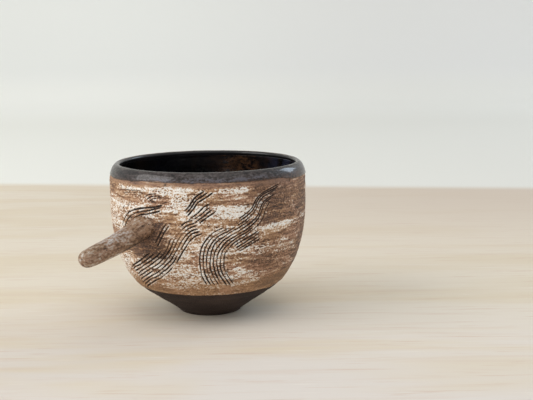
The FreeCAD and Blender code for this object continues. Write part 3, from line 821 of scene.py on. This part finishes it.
def make_handle():
    """The pulled stick with the clay smoothed into the wall at its root, as one skin."""
    marks = np.r_[np.linspace(-5, 10, 46), np.linspace(10, REACH - 4, 76)[1:]]
    marks = np.r_[marks, REACH - 4 + 4 * np.sin(np.linspace(0, math.pi / 2, 26))[1:-1]]
    turn = np.linspace(0, 2 * math.pi, HANDLE_ROUND, endpoint=False)[None, :]
    share = marks[:, None] / REACH
    half = ROOT_HALF + (TIP_HALF - ROOT_HALF) * np.clip(share, -0.2, 1)
    full = np.sqrt(1 - np.clip(share, 0, 1) ** BLUNTNESS)
    side, up = np.cos(turn), np.sin(turn)
    flare = 2.6 * np.exp(-np.maximum(marks, -1)[:, None] / 2.4)
    shoulder = np.exp(-((np.degrees(turn) - 32) / 26) ** 2)
    flare = flare * (0.12 + 0.1 * np.maximum(0, up) + 0.5 * shoulder
                     + 0.5 * np.maximum(0, -side) * (1 - 0.4 * np.maximum(0, -up)))
    flare = flare - np.exp(-((np.degrees(turn) - 318) / 32) ** 2 - np.maximum(marks, 0)[:, None] / 7)
    across = half[:, :1] * full * side + flare * side
    rise = half[:, 1:] * full * up * np.where(up < 0, 0.9, 1.0) + flare * up
    place = turn / (2 * math.pi) + 0 * share
    along = marks[:, None]
    skin = layered(place, along, (0.09, 7, 5, 91), (0.14, 14, 3, 92))
    skin += layered(place, along, (0.05, 1.6, 26, 93), (0.03, 0.6, 70, 94))
    skin -= 0.22 * np.exp(-((np.degrees(turn) - 38) / 9) ** 2) * smoothstep(2, 12, along)
    skin *= full
    across, rise = across + skin * side, rise + skin * up
    sag = SAG * 4 * np.clip(share, 0, 1) * (1 - np.clip(share, 0, 1))
    x = wall_radius(ROOT_HEIGHT) + along * math.cos(DROOP) + rise * math.sin(DROOP)
    z = ROOT_HEIGHT - along * math.sin(DROOP) + rise * math.cos(DROOP) - sag
    points = np.stack([x, across, z], axis=-1).reshape(-1, 3)
    index = np.arange(len(marks) * HANDLE_ROUND).reshape(len(marks), HANDLE_ROUND)
    beside = np.roll(index, -1, axis=1)
    faces = np.stack([index[:-1], index[1:], beside[1:], beside[:-1]], axis=-1).reshape(-1, 4).tolist()
    points, caps = capped(points, [], index)
    faces += [face[::-1] for face in caps]
    # painted light: a lighter strip along the outer lower side, as light thrown up from the table
    painted_table_bounce = np.exp(-((np.degrees(turn) - 318) / 24) ** 2) * smoothstep(12, 22, along)
    # painted shade along the underside near the root, where the handle is in its own shadow
    painted_underside_shade = np.exp(-((np.degrees(turn) - 312) / 24) ** 2) * smoothstep(23, 12, along)
    # painted light: the upper side is made lighter, as lit from above
    top = np.maximum(0, up) + 0 * share
    # slip wash and painted highlight: a blue-grey sheen along the top of the stick's middle
    slip_wash_and_painted_highlight = np.maximum(0, up) ** 2 * smoothstep(9, 15, along) * smoothstep(31, 23, along)
    root = smoothstep(22, 6, along) + 0 * up
    return make_object("handle_pulled_stick", points, faces,
                       dict(painted_table_bounce=painted_table_bounce, painted_underside_shade=painted_underside_shade, top=top, slip_wash_and_painted_highlight=slip_wash_and_painted_highlight, root=root))


def handle_material():
    s = Shader("handle_stoneware_with_slip_wash_and_painted_light")
    cloud = s.noise((110, 260, 260), seed=41)
    drag = s.noise((110, 620, 620), seed=42)
    grain = s.noise((700, 1000, 1000), detail=2, seed=43)
    top, painted_table_bounce, painted_underside_shade = s.field("top"), s.field("painted_table_bounce"), s.field("painted_underside_shade")
    # painted light: the upper side is lighter, as lit from above
    thick = s.plus(s.times(top, 0.24), 0.35)
    # painted light from the table makes the lower side lighter
    thick = s.plus(thick, s.times(painted_table_bounce, 0.3))
    swing = s.plus(s.times(cloud, 1.2), s.times(drag, 1.4))
    swing = s.plus(swing, s.times(grain, 1.4))
    thick = s.plus(thick, s.minus(swing, 2.0))
    # painted shade on the underside near the root
    thick = s.minus(thick, s.times(painted_underside_shade, 0.25))
    thick = s.minus(thick, s.times(s.field("root"), 0.07))
    pink = s.mix(s.step(cloud, 0.4, 0.6), (0.3, 0.188, 0.108), (0.315, 0.186, 0.118))
    base = s.mix(s.step(thick, 0.0, 0.25), (0.06, 0.034, 0.022), (0.175, 0.098, 0.056))
    base = s.mix(s.step(thick, 0.25, 0.46), base, pink)
    base = s.mix(s.step(thick, 0.5, 0.72), base, (0.42, 0.325, 0.25))
    base = s.mix(s.step(thick, 0.78, 1.0), base, (0.7, 0.66, 0.6))
    # slip wash and painted highlight, broken up along the stick
    slip_wash_and_painted_highlight = s.times(s.field("slip_wash_and_painted_highlight"), s.step(s.plus(drag, grain), 0.92, 1.12))
    base = s.mix(s.times(slip_wash_and_painted_highlight, 0.7), base, (0.56, 0.55, 0.56))
    base = s.mix(s.times(s.dots(560, 0.16, 0.27, seed=45), 0.85), base, (0.035, 0.022, 0.018))
    # painted shade darkens the underside near the root
    base = s.mix(s.times(painted_underside_shade, 0.9), base, (0.04, 0.022, 0.012))
    relief = s.plus(thick, grain)
    return s.finish(base, 0.5, relief, 0.0003, specular=0.4)


# ------------------------------------------------------------------ pieces onto the frame

dress(make_bowl(), clay_material(), "bare_clay", "bowl")
dress(make_foot(), bpy.data.materials["bare_dark_stoneware"], "bare_clay", "foot_ring")
dress(make_slip_coat(), slip_material(), "slip", "slip_coat")
dress(make_rim_glaze(), rim_material(), "rim_glaze", "rim_glaze")
dress(make_liner(), liner_material(), "liner_glaze", "liner_glaze")
dress(make_handle(), handle_material(), "handle_clay", "handle", "handle_joint_coil")


# ------------------------------------------------------------------ table, wall, light and camera

VIEW_TURN = math.radians(36)         # the camera stands this far round from the handle
TOWARDS = np.array([math.cos(VIEW_TURN), math.sin(VIEW_TURN), 0])
RIGHT = np.array([-math.sin(VIEW_TURN), math.cos(VIEW_TURN), 0])
TABLE_DEPTH = 0.405                  # from the cup to the table's far side, in metres
TABLE_SLANT = 0.122                  # how much nearer that side comes for each metre across
CUP_MIDDLE = 0.045                   # height that the lamps aim at
CAMERA_PLACE = (0.37684, 0.30911, 0.1345)
CAMERA_PITCH, CAMERA_ROLL = math.radians(9.36), math.radians(-0.62)
CAMERA_LENS = 67.54


def make_table():
    """One sheet: the table top, running back and sweeping up as the wall behind it."""
    line = [(1.6, 0.0), (0.6, 0.0), (0.2, 0.0), (-0.3, 0.0), (-0.8, 0.0), (-1.4, 0.0)]
    turn = np.linspace(0, math.pi / 2, 16)[1:]
    line += [(-1.4 - 0.5 * math.sin(t), 0.5 - 0.5 * math.cos(t)) for t in turn]
    line += [(-1.9, 2.4)]
    points, faces = [], []
    sides = np.linspace(-2.2, 2.2, 12)
    for away, height in line:
        for side in sides:
            points.append((TOWARDS * away + RIGHT * side + np.array([0, 0, height])) / MM)
    count = len(sides)
    for row in range(len(line) - 1):
        for column in range(count - 1):
            a = row * count + column
            faces.append([a, a + 1, a + count + 1, a + count])
    table = make_object("table_and_wall", points, faces)
    table.data.materials.append(table_material())


def table_material():
    s = Shader("pale_pine_table_and_wall")
    turned = s.add("ShaderNodeMapping", {"Vector": s.place, "Rotation": (0, 0, -VIEW_TURN)})
    s.place = turned.outputs["Vector"]
    depth, across, height = s.axis("X"), s.axis("Y"), s.axis("Z")
    grain = s.noise((190, 14, 1), detail=4, distortion=0.3, seed=51)
    fibres = s.noise((330, 20, 1), seed=53)
    broad = s.noise((16, 3.2, 1), roughness=0.55, distortion=1.2, seed=52)
    back = s.step(depth, 0.12, -0.05)
    wood = s.mix(back, (0.755, 0.70, 0.64), (0.79, 0.715, 0.59))
    wood = s.mix(s.times(s.step(broad, 0.44, 0.62), 0.75), wood, (0.74, 0.64, 0.48))
    wood = s.mix(s.times(s.step(grain, 0.5, 0.66), 0.24), wood, (0.67, 0.53, 0.42))
    wood = s.mix(s.times(s.step(fibres, 0.58, 0.66), 0.34), wood, (0.62, 0.43, 0.31))
    wood = s.mix(s.times(s.step(fibres, 0.4, 0.3), 0.4), wood, (0.87, 0.82, 0.75))
    # painted light falloff: the backdrop is painted darker towards the right, away from the window, and its
    # colours below and above the bend are set to even out its shading
    side = s.step(across, -0.45, 0.4)
    far = s.times(s.step(depth, 0.0, -0.36), s.step(across, -0.3, 0.25))
    wood = s.mix(s.times(far, 0.85), wood, (0.62, 0.525, 0.435))
    flat = s.mix(side, (0.905, 0.905, 0.84), (0.765, 0.755, 0.7))
    upright = s.mix(side, (0.895, 0.905, 0.865), (0.805, 0.8, 0.77))
    wall = s.mix(s.step(height, 0.0, 0.05), flat, upright)
    # painted light: the foot of the bend is painted lighter to fill a dip in its shading
    bend = s.times(s.step(height, 0.075, 0.008), s.step(depth, -1.0, -1.45))
    wall = s.mix(bend, wall, s.mix(side, (0.975, 0.977, 0.925), (0.84, 0.835, 0.785)))
    edge = s.minus(depth, s.times(across, TABLE_SLANT))
    behind = s.step(edge, -TABLE_DEPTH + 0.012, -TABLE_DEPTH - 0.022)
    relief = s.times(grain, s.minus(1.0, behind))
    return s.finish(s.mix(behind, wood, wall), 0.72, relief, 0.0002, specular=0.2)


def add_area(name, place, size, share, tint=(1, 1, 1)):
    """A soft lamp aimed at the cup that adds this share of full light there."""
    aim, place = Vector((0, 0, CUP_MIDDLE)), Vector(place)
    data = bpy.data.lights.new(name, "AREA")
    data.shape, data.size, data.size_y = "RECTANGLE", size[0], size[1]
    data.color = tint
    data.energy = math.pi ** 2 * share * (place - aim).length_squared
    lamp = bpy.data.objects.new(name, data)
    lamp.location = place
    lamp.rotation_euler = (aim - place).to_track_quat("-Z", "Y").to_euler()
    bpy.context.scene.collection.objects.link(lamp)


def around(turn, distance, height):
    """A place round the cup: 0 degrees is towards the camera and 90 is to its right."""
    turn = math.radians(turn)
    spot = (TOWARDS * math.cos(turn) + RIGHT * math.sin(turn)) * distance
    return (spot[0], spot[1], height)


def set_world(strength, tint):
    world = bpy.data.worlds.new("room")
    world.use_nodes = True
    background = world.node_tree.nodes["Background"]
    background.inputs["Color"].default_value = (*tint, 1)
    background.inputs["Strength"].default_value = strength
    bpy.context.scene.world = world


def set_camera():
    forward = -TOWARDS * math.cos(CAMERA_PITCH) - np.array([0, 0, math.sin(CAMERA_PITCH)])
    upward = np.cross(RIGHT, forward)
    x = math.cos(CAMERA_ROLL) * RIGHT + math.sin(CAMERA_ROLL) * upward
    y = -math.sin(CAMERA_ROLL) * RIGHT + math.cos(CAMERA_ROLL) * upward
    rows = np.stack([x, y, -forward], axis=1)
    data = bpy.data.cameras.new("camera")
    data.lens, data.sensor_width = CAMERA_LENS, 36
    data.clip_start = 0.01
    camera = bpy.data.objects.new("camera", data)
    camera.matrix_world = Matrix.Translation(CAMERA_PLACE) @ Matrix(rows.tolist()).to_4x4()
    bpy.context.scene.collection.objects.link(camera)
    bpy.context.scene.camera = camera


make_table()
add_area("window_left", around(-70, 1.6, 0.95), (1.4, 1.2), 0.5, (1.0, 0.985, 0.96))
add_area("ceiling_fill", around(20, 0.8, 1.9), (1.6, 1.6), 0.14)
add_area("window_right_back", around(126, 1.7, 0.9), (0.55, 0.7), 0.2, (0.7, 0.84, 1.0))
set_world(0.61, (1.0, 1.0, 1.0))
set_camera()
bpy.context.scene.view_settings.view_transform = "Standard"
